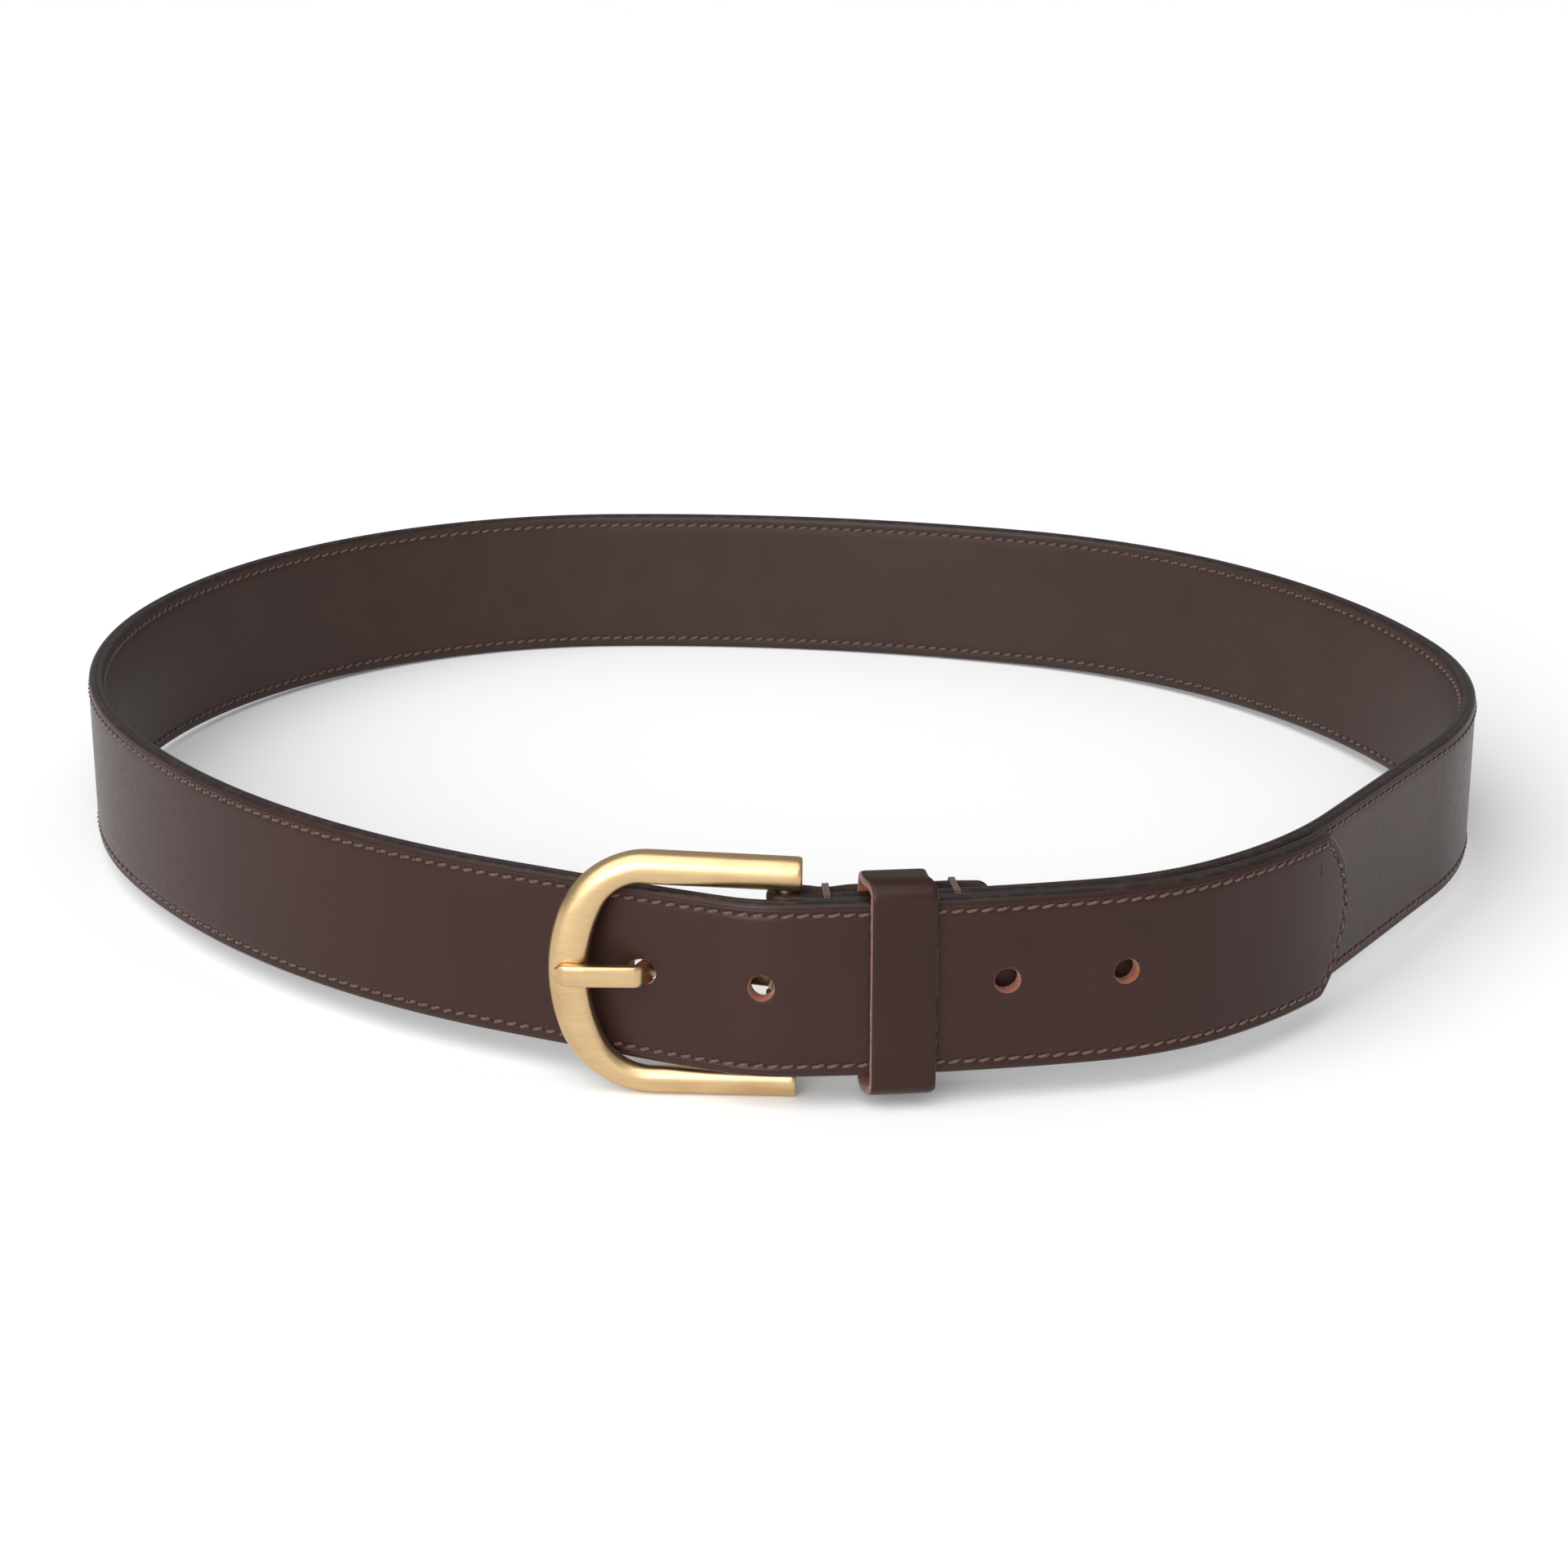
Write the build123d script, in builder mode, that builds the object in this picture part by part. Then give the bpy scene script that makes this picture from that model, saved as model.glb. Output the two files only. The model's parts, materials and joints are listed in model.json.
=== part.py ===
from build123d import *
import os
from math import cos, degrees, radians, sin

os.makedirs("parts", exist_ok=True)

# A buckled dress belt standing on its long edge. Sizes are in millimetres.
# +X runs along the front to the wearer's left, -Y is the front with the buckle, +Z is up.
# "Depth" is measured square to the strap, from its outer face towards the waist.

# Strap
strap_width = 38.0
outer_ply = 1.8
lining_ply = 1.7
strap_thickness = outer_ply + lining_ply
layer_gap = 0.4                       # between the billet and the strap that it lies on
layer_pitch = strap_thickness + layer_gap

# Buckle frame
frame_height = 53.3
frame_length_to_bar = 48.5            # from the heel bar's centre to the front bar's outer face
frame_depth = 4.0
front_bar_width = 8.3
upper_arm_height = 6.8
lower_arm_height = 6.1
upper_arm_end = 3.3
lower_arm_end = 2.1
bar_radius = 2.0
frame_tilt = 3.5                      # the front bar lies this many degrees further in
frame_forward = 1.2                   # the arms' middle lies in front of the bar's
frame_edge_front = 1.6
frame_edge_back = 1.9
outer_bow = (38.0, 20.0)               # radius of the front bar's outer line, and half its angle
inner_bow = (34.0, 25.0)
bar_let_in = 2.5                      # how far the heel bar goes into each arm

# Heights above the lowest edge of the buckle
frame_middle = frame_height / 2
strap_rest_gap = 0.9
strap_bottom = lower_arm_height + strap_rest_gap
mid_height = strap_bottom + strap_width / 2

# Where the strap leaves the heel bar: its outer face, heading along +X
start_x = 2.71
start_y = -142.62
start_heading = 2.0
fold_inner_radius = bar_radius + 0.3
fold_outer_radius = fold_inner_radius + outer_ply

# The strap's outer face in plan as tangent runs: (radius, turn in degrees), or (length, 0) if straight.
# A left turn is positive. The front left run and the straight close the ring on itself.
front_runs = [(365, 10), (72, 22), (106, 22.5)]
side_and_back_runs = [
    (55.7, 0), (92, 50), (165, 26), (136, 29), (333, 20), (124, 117), (204, 37), (15, 0),
]
billet_bend_runs = [(13.34, 0), (360, 3.5), (34, 23)]
# The billet lies over the front runs, so it follows them one layer further out.
billet_front_runs = [(radius + layer_pitch, turn) for radius, turn in front_runs]
billet_runs = billet_bend_runs + billet_front_runs

# Lining, flap and tip
lining_start = 6.0                    # along the strap from the heel bar
flap_length = 42.0
flap_end_turn = 275.0                 # how the flap's end heads, from straight into the waist
slot_height = 6.4                     # the slot in the fold, for the tongue
slot_length = 11.0
tip_length = 11.0                     # from the shoulders to the nose
tip_bulge = (0.72, 0.52)              # a point on each curved side, as parts of its length and height

# Punched holes
hole_radius = 2.6
hole_pitch = 25.0
hole_count = 5
used_hole_place = 18.2                # along the billet from the front bar
free_hole_place = 43.6                # the first hole that nothing is in
used_hole_stretch = 1.0               # the hole with the tongue in it is drawn out this far
hole_rise = 0.75                      # the row lies a little above the strap's middle

# Keeper
keeper_width = 13.5
keeper_height = 47.0
keeper_ply = 1.7
keeper_place = 23.0
keeper_front_gap = 0.4
keeper_back_gap = 0.4
keeper_corner = 4.0
keeper_butt = 0.3                     # between the strip's two ends
keeper_flap_gap = 0.2                 # between the keeper and the flap behind it

# Staple that closes the keeper
staple_height = 9.0
staple_wire = 0.8
staple_depth = 0.5
staple_leg = 1.5
staple_room = 0.05                    # between the staple and its bed, each side

# Tongue, in plan from the heel bar's centre
tongue_width = 4.4
tongue_thickness = 2.2
eye_inner_radius = bar_radius + 0.06
eye_outer_radius = 3.7
tongue_points = [(-2.2, 0.5), (-26.7, 6.1), (-30.3, -1.7), (-41.0, -2.05), (-46.9, -1.75)]
tongue_bend_radius = 1.6
tongue_tip_chamfer = 0.9
tip_lean = 8.0                        # the end face's edges lean from the Y axis by less than this
tongue_tilt = 1.5                     # the tip lies higher than the eye, by this many degrees

# Threads
stitch_inset = 2.6
thread_width = 0.8
thread_proud = 0.15
thread_room = 0.02                    # between a thread and the leather that it lies on
tack_places = (8.0, 34.4)
tack_width = 1.4
tack_reach = 2.0                      # how far the thread comes down over an edge
buckle_tack_back = 6.7                # how deep the flap's outer face lies there
tail_tack_back = 7.65
tack_flap_room = 0.07
tack_edge_room = 0.05
tack_proud = 0.5                      # how far it stands over the strap's edges
tack_wrap = 0.3                       # and over its faces


def step(point, heading, run):
    """Where a run ends: the new point on the outer face and the new heading."""
    size, turn = run
    if turn == 0:
        shift = Vector(cos(radians(heading)), sin(radians(heading))) * size
        return point + shift, heading
    side = 1 if turn > 0 else -1
    across = Vector(-sin(radians(heading)), cos(radians(heading))) * (size * side)
    centre = point + across
    return centre - across.rotate(Axis.Z, turn), heading + turn


def inward(heading):
    """The unit vector square to the strap, towards the waist."""
    return Vector(-sin(radians(heading)), cos(radians(heading)))


def add_runs(runs, point, heading, depth):
    """Draws the runs at a depth behind the outer face, in the BuildLine around the call."""
    for size, turn in runs:
        start = point + inward(heading) * depth
        if turn == 0:
            PolarLine(start, size, heading)
        else:
            radius = size - depth if turn > 0 else size + depth
            JernArc(start, (cos(radians(heading)), sin(radians(heading))), radius, turn)
        point, heading = step(point, heading, (size, turn))
    return point, heading


def add_band(runs, point, heading, near_depth, far_depth):
    """Draws the closed outline of one layer between two depths."""
    end, end_heading = add_runs(runs, point, heading, near_depth)
    add_runs(runs, point, heading, far_depth)
    Line(point + inward(heading) * near_depth, point + inward(heading) * far_depth)
    Line(end + inward(end_heading) * near_depth, end + inward(end_heading) * far_depth)


def along(runs, point, heading, distance):
    """The point on the outer face and the heading at a distance along the runs."""
    if distance == 0:
        return point, heading
    for size, turn in runs:
        length = size if turn == 0 else size * radians(abs(turn))
        if distance <= length:
            part = (distance, 0) if turn == 0 else (size, turn * distance / length)
            return step(point, heading, part)
        distance -= length
        point, heading = step(point, heading, (size, turn))
    return point, heading


def skip(runs, distance):
    """The runs with their first stretch taken off, all within the first run."""
    size, turn = runs[0]
    cut = degrees(distance / size)
    return [(size, turn - cut)] + list(runs[1:])


def total(runs):
    return sum(size if turn == 0 else size * radians(abs(turn)) for size, turn in runs)


start = Vector(start_x, start_y)
bar_centre = start + inward(start_heading) * fold_outer_radius
bar_x, bar_y = bar_centre.X, bar_centre.Y
ring_runs = front_runs + side_and_back_runs
billet_start, billet_heading = start, start_heading
for one_run in ring_runs:
    billet_start, billet_heading = step(billet_start, billet_heading, one_run)
billet_length = total(billet_runs)
tip_place = billet_length - tip_length

# Outer ply, the ring from the heel bar right round to the buckle
with BuildPart() as strap_outer_ring:
    with BuildSketch(Plane.XY.offset(strap_bottom)):
        with BuildLine():
            add_band(ring_runs, start, start_heading, 0, outer_ply)
        make_face()
    extrude(amount=strap_width)
    # the end of the slot for the tongue, in front of the heel bar
    with Locations((bar_x, start_y, mid_height)):
        Box(slot_length, 4 * fold_outer_radius, slot_height, mode=Mode.SUBTRACT)
strap_outer_ring.part.label = "strap_outer_ring"
export_step(strap_outer_ring.part, "parts/strap_outer_ring.step")

# Outer ply, the fold round the heel bar and the flap behind the strap
keeper_back = strap_thickness + keeper_back_gap + keeper_ply + keeper_flap_gap
flap_turns = [
    (0.0, 2 * fold_outer_radius - outer_ply), (4.0, 5.8), (tack_places[0], 4.6), (13.6, keeper_back),
    (33.8, keeper_back), (38.0, 5.3), (flap_length, 4.9),
]


def on_front(place, depth):
    point, heading = along(front_runs, start, start_heading, place)
    return point + inward(heading) * depth


with BuildPart() as strap_fold:
    with BuildSketch(Plane.XY.offset(strap_bottom)):
        with BuildLine():
            flesh = [on_front(place, depth) for place, depth in flap_turns]
            grain = [on_front(place, depth + outer_ply) for place, depth in flap_turns]
            way = (cos(radians(start_heading)), sin(radians(start_heading)))
            Spline(flesh, tangents=[way, inward(start_heading + flap_end_turn)])
            Spline(grain, tangents=[way, inward(start_heading + flap_end_turn)])
            Line(flesh[-1], grain[-1])
            JernArc(grain[0], (-way[0], -way[1]), fold_outer_radius, 180)
            JernArc(flesh[0], (-way[0], -way[1]), fold_inner_radius, 180)
            Line(start, on_front(0, outer_ply))
        make_face()
    extrude(amount=strap_width)
    with Locations((bar_x, bar_y, mid_height)):
        Box(slot_length, 4 * fold_outer_radius, slot_height, mode=Mode.SUBTRACT)
strap_fold.part.label = "strap_fold"
export_step(strap_fold.part, "parts/strap_fold.step")

# Lining ply of the ring
lining_point, lining_heading = along(front_runs, start, start_heading, lining_start)
with BuildPart() as strap_lining_ring:
    with BuildSketch(Plane.XY.offset(strap_bottom)):
        with BuildLine():
            add_band(skip(ring_runs, lining_start), lining_point, lining_heading, outer_ply, strap_thickness)
        make_face()
    extrude(amount=strap_width)
strap_lining_ring.part.label = "strap_lining_ring"
export_step(strap_lining_ring.part, "parts/strap_lining_ring.step")

# The billet, with its punched holes and pointed tip, in both plies
tip_point, tip_heading = along(billet_runs, billet_start, billet_heading, tip_place)
tip_plane = Plane(
    origin=(tip_point.X, tip_point.Y, mid_height),
    x_dir=(cos(radians(tip_heading)), sin(radians(tip_heading)), 0),
    z_dir=-inward(tip_heading),
)
hole_places = [used_hole_place] + [free_hole_place + hole_pitch * number for number in range(hole_count - 1)]


def hole_plane(place):
    point, heading = along(billet_runs, billet_start, billet_heading, place)
    return Plane(
        origin=(point.X, point.Y, mid_height + hole_rise),
        x_dir=(cos(radians(heading)), sin(radians(heading)), 0),
        z_dir=-inward(heading),
    )


half_width = strap_width / 2
cutter_reach = 2 * strap_thickness
tip_side = (tip_bulge[0] * tip_length, tip_bulge[1] * half_width)
billet_plies = (("strap_outer_billet", 0, outer_ply), ("strap_lining_billet", outer_ply, strap_thickness))
for name, near, far in billet_plies:
    with BuildPart() as billet:
        with BuildSketch(Plane.XY.offset(strap_bottom)):
            with BuildLine():
                add_band(billet_runs, billet_start, billet_heading, near, far)
            make_face()
        extrude(amount=strap_width)
        # the hole in use is an oval, the others are round
        with BuildSketch(hole_plane(hole_places[0])):
            with Locations((-used_hole_stretch / 2, 0)):
                SlotOverall(2 * hole_radius + used_hole_stretch, 2 * hole_radius)
        extrude(amount=cutter_reach, both=True, mode=Mode.SUBTRACT)
        for place in hole_places[1:]:
            with BuildSketch(hole_plane(place)):
                Circle(hole_radius)
            extrude(amount=cutter_reach, both=True, mode=Mode.SUBTRACT)
        # what lies outside the pointed tip is trimmed away
        with BuildSketch(tip_plane):
            with BuildLine():
                ThreePointArc((0, -half_width), (tip_side[0], -tip_side[1]), (tip_length, 0))
                ThreePointArc((tip_length, 0), tip_side, (0, half_width))
                Line((0, half_width), (0, strap_width))
                Line((0, strap_width), (strap_width, strap_width))
                Line((strap_width, strap_width), (strap_width, -strap_width))
                Line((strap_width, -strap_width), (0, -strap_width))
                Line((0, -strap_width), (0, -half_width))
            make_face()
        extrude(amount=cutter_reach, both=True, mode=Mode.SUBTRACT)
    billet.part.label = name
    export_step(billet.part, f"parts/{name}.step")

# Lockstitch along both edges: the needle thread shows on the face, the bobbin thread on the lining
sewn_ring = skip(ring_runs, lining_start)
last_radius, last_turn = billet_runs[-1]
sewn_billet = billet_runs[:-1] + [(last_radius, last_turn - degrees(tip_length / last_radius))]
stitch_rows = (
    strap_bottom + stitch_inset - thread_width / 2,
    strap_bottom + strap_width - stitch_inset - thread_width / 2,
)
stitch_sides = (
    ("edge_stitch_needle", -thread_proud - thread_room),
    ("edge_stitch_bobbin", strap_thickness + thread_room),
)
for name, near in stitch_sides:
    with BuildPart() as edge_stitch:
        for row in stitch_rows:
            with BuildSketch(Plane.XY.offset(row)):
                with BuildLine():
                    add_band(sewn_ring, lining_point, lining_heading, near, near + thread_proud)
                make_face()
            extrude(amount=thread_width)
            with BuildSketch(Plane.XY.offset(row)):
                with BuildLine():
                    add_band(sewn_billet, billet_start, billet_heading, near, near + thread_proud)
                make_face()
            extrude(amount=thread_width)
    edge_stitch.part.label = name
    export_step(edge_stitch.part, f"parts/{name}.step")

# Tack stitches that hold the flap, over the top edge and under the bottom edge
tacks = (
    ("tack_stitch_buckle_side", tack_places[0], buckle_tack_back),
    ("tack_stitch_tail_side", tack_places[1], tail_tack_back),
)
for name, place, tack_back in tacks:
    point, heading = along(front_runs, start, start_heading, place)
    tack_plane = Plane(
        origin=(point.X, point.Y, mid_height),
        x_dir=inward(heading),
        z_dir=(cos(radians(heading)), sin(radians(heading)), 0),
    )
    tack_size = tack_back + 2 * tack_wrap
    tack_height = strap_width + 2 * tack_proud
    with BuildPart() as tack_stitch:
        with BuildSketch(tack_plane):
            with Locations((tack_back / 2, 0)):
                Rectangle(tack_size, tack_height)
                Rectangle(
                    tack_back + 2 * tack_flap_room, strap_width + 2 * tack_edge_room, mode=Mode.SUBTRACT,
                )
                Rectangle(tack_size, strap_width - 2 * tack_reach, mode=Mode.SUBTRACT)
        extrude(amount=tack_width / 2, both=True)
    tack_stitch.part.label = name
    export_step(tack_stitch.part, f"parts/{name}.step")

# Buckle frame with its heel bar, cast in one piece
forward = Vector(-sin(radians(frame_tilt)), -cos(radians(frame_tilt)), 0)
frame_plane = Plane(
    origin=Vector(bar_x, bar_y, frame_middle) + forward * frame_forward,
    x_dir=(cos(radians(frame_tilt)), -sin(radians(frame_tilt)), 0),
    z_dir=forward,
)


def half_outline(reach, half_height, bow_radius, bow_angle, end, side):
    """One half of a U outline, from the middle of the front bar to the end of an arm."""
    bow = JernArc((-reach, 0), (0, side), bow_radius, -side * bow_angle)
    corner_radius = (half_height - bow_radius * sin(radians(bow_angle))) / (1 - sin(radians(bow_angle)))
    corner = JernArc(bow @ 1, bow % 1, corner_radius, -side * (90 - bow_angle))
    Line(corner @ 1, (end, side * half_height))


inner_reach = frame_length_to_bar - front_bar_width
upper_inner = frame_middle - upper_arm_height
lower_inner = frame_middle - lower_arm_height
with BuildPart() as buckle_frame:
    with BuildSketch(frame_plane):
        with BuildLine():
            for end, inner_height, side in ((upper_arm_end, upper_inner, 1), (lower_arm_end, lower_inner, -1)):
                half_outline(frame_length_to_bar, frame_middle, *outer_bow, end, side)
                half_outline(inner_reach, inner_height, *inner_bow, end, side)
            Line((upper_arm_end, upper_inner), (upper_arm_end, frame_middle))
            Line((lower_arm_end, -lower_inner), (lower_arm_end, -frame_middle))
        make_face()
    extrude(amount=frame_depth / 2, both=True)
    front_face = buckle_frame.faces().sort_by(Axis((0, 0, 0), frame_plane.z_dir))[-1]
    fillet(front_face.edges(), radius=frame_edge_front)
    back_face = buckle_frame.faces().sort_by(Axis((0, 0, 0), frame_plane.z_dir))[0]
    fillet(back_face.edges(), radius=frame_edge_back)
    # the bar is let into the arms
    with BuildSketch(Plane.XY.offset(lower_arm_height - bar_let_in)):
        with Locations((bar_x, bar_y)):
            Circle(bar_radius)
    extrude(amount=upper_inner + lower_inner + 2 * bar_let_in)
buckle_frame.part.label = "buckle_frame"
export_step(buckle_frame.part, "parts/buckle_frame.step")

# Tongue: a bent strip with an eye round the heel bar, through the hole and over the front bar
tongue_plane = Plane(
    origin=(bar_x, bar_y, mid_height),
    x_dir=(cos(radians(tongue_tilt)), 0, -sin(radians(tongue_tilt))),
    z_dir=(sin(radians(tongue_tilt)), 0, cos(radians(tongue_tilt))),
)
with BuildPart() as buckle_tongue:
    with BuildSketch(tongue_plane):
        with BuildLine():
            FilletPolyline(tongue_points, radius=tongue_bend_radius)
        trace(line_width=tongue_thickness)
        Circle(eye_outer_radius)
        Circle(eye_inner_radius, mode=Mode.SUBTRACT)
    extrude(amount=tongue_width / 2, both=True)
    tip_corners = buckle_tongue.edges().filter_by(Axis.Y, tolerance=tip_lean).group_by(Axis.X)[0]
    chamfer(tip_corners, length=tongue_tip_chamfer)
buckle_tongue.part.label = "buckle_tongue"
export_step(buckle_tongue.part, "parts/buckle_tongue.step")

# Keeper: a strip of leather bent into a ring, its ends butted behind the strap
keeper_point, keeper_heading = along(front_runs, start, start_heading, keeper_place)
keeper_plane = Plane(
    origin=(keeper_point.X, keeper_point.Y, mid_height),
    x_dir=inward(keeper_heading),
    z_dir=(cos(radians(keeper_heading)), sin(radians(keeper_heading)), 0),
)
keeper_front = -layer_pitch - keeper_front_gap - keeper_ply
keeper_rear = strap_thickness + keeper_back_gap + keeper_ply
keeper_span = keeper_rear - keeper_front
staple_leg_at = (staple_height - staple_wire) / 2
with BuildPart() as keeper_loop:
    with BuildSketch(keeper_plane):
        with Locations(((keeper_front + keeper_rear) / 2, 0)):
            RectangleRounded(keeper_span, keeper_height, keeper_corner)
            RectangleRounded(
                keeper_span - 2 * keeper_ply, keeper_height - 2 * keeper_ply,
                keeper_corner - keeper_ply, mode=Mode.SUBTRACT,
            )
    extrude(amount=keeper_width / 2, both=True)
    # the butt joint between the strip's two ends
    with BuildSketch(keeper_plane):
        with Locations((keeper_rear, 0)):
            Rectangle(4 * keeper_ply, keeper_butt)
    extrude(amount=keeper_width, both=True, mode=Mode.SUBTRACT)
    # the staple's bed
    with BuildSketch(keeper_plane):
        with Locations((keeper_rear, 0)):
            Rectangle(2 * (staple_depth + 2 * staple_room), staple_height + 2 * staple_room)
            with Locations((0, staple_leg_at), (0, -staple_leg_at)):
                Rectangle(2 * (staple_leg + staple_room), staple_wire + 2 * staple_room)
    extrude(amount=staple_wire / 2 + staple_room, both=True, mode=Mode.SUBTRACT)
keeper_loop.part.label = "keeper_loop"
export_step(keeper_loop.part, "parts/keeper_loop.step")

with BuildPart() as keeper_staple:
    with BuildSketch(keeper_plane):
        with Locations((keeper_rear - staple_room - staple_depth / 2, 0)):
            Rectangle(staple_depth, staple_height)
        with Locations((keeper_rear - staple_room - staple_leg / 2, 0)):
            with Locations((0, staple_leg_at), (0, -staple_leg_at)):
                Rectangle(staple_leg - staple_room, staple_wire)
    extrude(amount=staple_wire / 2, both=True)
keeper_staple.part.label = "keeper_staple"
export_step(keeper_staple.part, "parts/keeper_staple.step")
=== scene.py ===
import json
import math
import random

import bmesh
import bpy
from mathutils import Matrix, Vector


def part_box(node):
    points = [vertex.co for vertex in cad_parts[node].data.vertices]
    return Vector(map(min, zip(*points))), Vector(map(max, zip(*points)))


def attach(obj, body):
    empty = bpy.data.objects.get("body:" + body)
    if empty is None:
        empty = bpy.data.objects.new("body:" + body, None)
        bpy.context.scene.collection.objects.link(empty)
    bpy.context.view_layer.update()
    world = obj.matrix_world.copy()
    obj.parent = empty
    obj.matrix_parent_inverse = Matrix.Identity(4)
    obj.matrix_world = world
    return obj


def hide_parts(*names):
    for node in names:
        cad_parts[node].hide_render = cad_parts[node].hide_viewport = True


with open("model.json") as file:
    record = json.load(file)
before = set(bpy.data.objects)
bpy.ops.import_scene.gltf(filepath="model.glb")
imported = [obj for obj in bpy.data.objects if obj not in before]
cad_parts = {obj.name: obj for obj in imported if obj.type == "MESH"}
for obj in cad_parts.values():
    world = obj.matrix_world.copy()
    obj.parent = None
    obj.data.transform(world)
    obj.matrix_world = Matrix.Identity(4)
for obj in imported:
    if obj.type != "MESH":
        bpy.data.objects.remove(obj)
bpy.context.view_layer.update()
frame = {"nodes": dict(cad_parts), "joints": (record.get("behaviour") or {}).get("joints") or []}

# A buckled dress belt: bridle leather strap, brass buckle, leather keeper.
# Lengths in this script are millimetres. They become metres when a mesh is made.
# "Depth" is measured square to the strap, from its outer face towards the waist.
metre = 0.001
dice = random.Random(7)


def linear(hexColour):
    # sRGB hex to the linear colour that the shaders use
    parts = [int(hexColour[i:i + 2], 16) / 255 for i in (1, 3, 5)]
    return [p / 12.92 if p <= 0.04045 else ((p + 0.055) / 1.055) ** 2.4 for p in parts] + [1.0]


def addNode(tree, kind, settings=None, links=None):
    # one shader node with its settings and what is plugged into it
    made = tree.nodes.new("ShaderNode" + kind)
    for name, value in (settings or {}).items():
        if isinstance(name, int) or name in made.inputs:
            made.inputs[name].default_value = value
        else:
            setattr(made, name, value)
    for name, source in (links or {}).items():
        tree.links.new(source, made.inputs[name])
    return made


def perMm(size):
    # the scale that makes a pattern repeat at this size in mm
    return 1 / (size * metre)


def startMaterial(name):
    made = bpy.data.materials.new(name)
    made.use_nodes = True
    tree = made.node_tree
    return made, tree, tree.nodes["Principled BSDF"], addNode(tree, "TexCoord").outputs["Object"]


bridle = {
    "colour": "#291714", "colourWarm": "#36201b",
    "keeperColour": "#27140f", "keeperWarm": "#311b15",  # the keeper took more dye
    "patch": 22.0,  # pull-up patches, mm across
    # grain cells and pores in mm: the real cells are near 0.25, drawn coarser so that they show
    "grain": 0.9, "pore": 1.8, "roughness": 0.36, "roughnessSwing": 0.08,
}


def bridleLeather(name, colour, colourWarm):
    # vegetable tanned bridle leather, waxed and burnished: a dark satin that lights up at a low angle
    made, tree, shader, place = startMaterial(name)
    patches = addNode(tree, "TexNoise", {
        "Scale": perMm(bridle["patch"]), "Detail": 4.0,
    }, {"Vector": place})
    tone = addNode(tree, "Mix", {
        "data_type": "RGBA", 6: linear(colour), 7: linear(colourWarm),
    }, {0: patches.outputs["Fac"]})
    cells = addNode(tree, "TexVoronoi", {"Scale": perMm(bridle["grain"])}, {"Vector": place})
    pores = addNode(tree, "TexNoise", {"Scale": perMm(bridle["pore"]), "Detail": 6.0}, {"Vector": place})
    relief = addNode(tree, "Math", {"operation": "MULTIPLY"}, {
        0: cells.outputs["Distance"], 1: pores.outputs["Fac"],
    })
    bump = addNode(tree, "Bump", {
        "Strength": 0.10, "Distance": 0.05 * metre,
    }, {"Height": relief.outputs[0]})
    gloss = addNode(tree, "MapRange", {
        "To Min": bridle["roughness"] - bridle["roughnessSwing"],
        "To Max": bridle["roughness"] + bridle["roughnessSwing"],
    }, {"Value": pores.outputs["Fac"]})
    tree.links.new(tone.outputs[2], shader.inputs["Base Color"])
    tree.links.new(gloss.outputs[0], shader.inputs["Roughness"])
    tree.links.new(bump.outputs[0], shader.inputs["Normal"])
    shader.inputs["IOR"].default_value = 1.5
    shader.inputs["Specular IOR Level"].default_value = 0.22
    return made


edgePaint = {"colour": "#1d1312", "colourWorn": "#38271f", "wear": 3.0, "roughness": 0.42}


def paintedEdge():
    # acrylic edge paint in three coats, sanded between: a smooth dark bead with slightly rubbed places
    made, tree, shader, place = startMaterial("edgePaintRounded")
    rub = addNode(tree, "TexNoise", {"Scale": perMm(edgePaint["wear"]), "Detail": 5.0}, {"Vector": place})
    part = addNode(tree, "MapRange", {"From Min": 0.48, "From Max": 0.75}, {"Value": rub.outputs["Fac"]})
    tone = addNode(tree, "Mix", {
        "data_type": "RGBA", 6: linear(edgePaint["colour"]), 7: linear(edgePaint["colourWorn"]),
    }, {0: part.outputs[0]})
    bump = addNode(tree, "Bump", {
        "Strength": 0.15, "Distance": 0.1 * metre,
    }, {"Height": rub.outputs["Fac"]})
    tree.links.new(tone.outputs[2], shader.inputs["Base Color"])
    tree.links.new(bump.outputs[0], shader.inputs["Normal"])
    shader.inputs["Roughness"].default_value = edgePaint["roughness"]
    shader.inputs["IOR"].default_value = 1.5
    shader.inputs["Specular IOR Level"].default_value = 0.3
    return made


rawCut = {
    "punched": ("#6a3017", "#a3562d"),
    "knifeCut": ("#4a2a1e", "#86583f"),
    "fleshSide": ("#2a1914", "#4a3026"),
    "fibre": 0.7, "roughness": 0.85,
}


def rawLeather(name, dark, pale):
    # leather cut through with a knife or punch and left bare: an orange-brown nap of fibres, quite matt
    made, tree, shader, place = startMaterial(name)
    fibres = addNode(tree, "TexNoise", {
        "Scale": perMm(rawCut["fibre"]), "Detail": 8.0, "Roughness": 0.7, "Distortion": 1.2,
    }, {"Vector": place})
    part = addNode(tree, "MapRange", {
        "From Min": 0.35, "From Max": 0.68,
    }, {"Value": fibres.outputs["Fac"]})
    tone = addNode(tree, "Mix", {
        "data_type": "RGBA", 6: linear(dark), 7: linear(pale),
    }, {0: part.outputs[0]})
    bump = addNode(tree, "Bump", {
        "Strength": 0.7, "Distance": 0.25 * metre,
    }, {"Height": fibres.outputs["Fac"]})
    tree.links.new(tone.outputs[2], shader.inputs["Base Color"])
    tree.links.new(bump.outputs[0], shader.inputs["Normal"])
    shader.inputs["Roughness"].default_value = rawCut["roughness"]
    shader.inputs["Sheen Weight"].default_value = 0.25
    return made


lining = {"colour": "#2c1d19", "colourWarm": "#3b2720", "patch": 14.0, "grain": 1.2, "roughness": 0.46}


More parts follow.
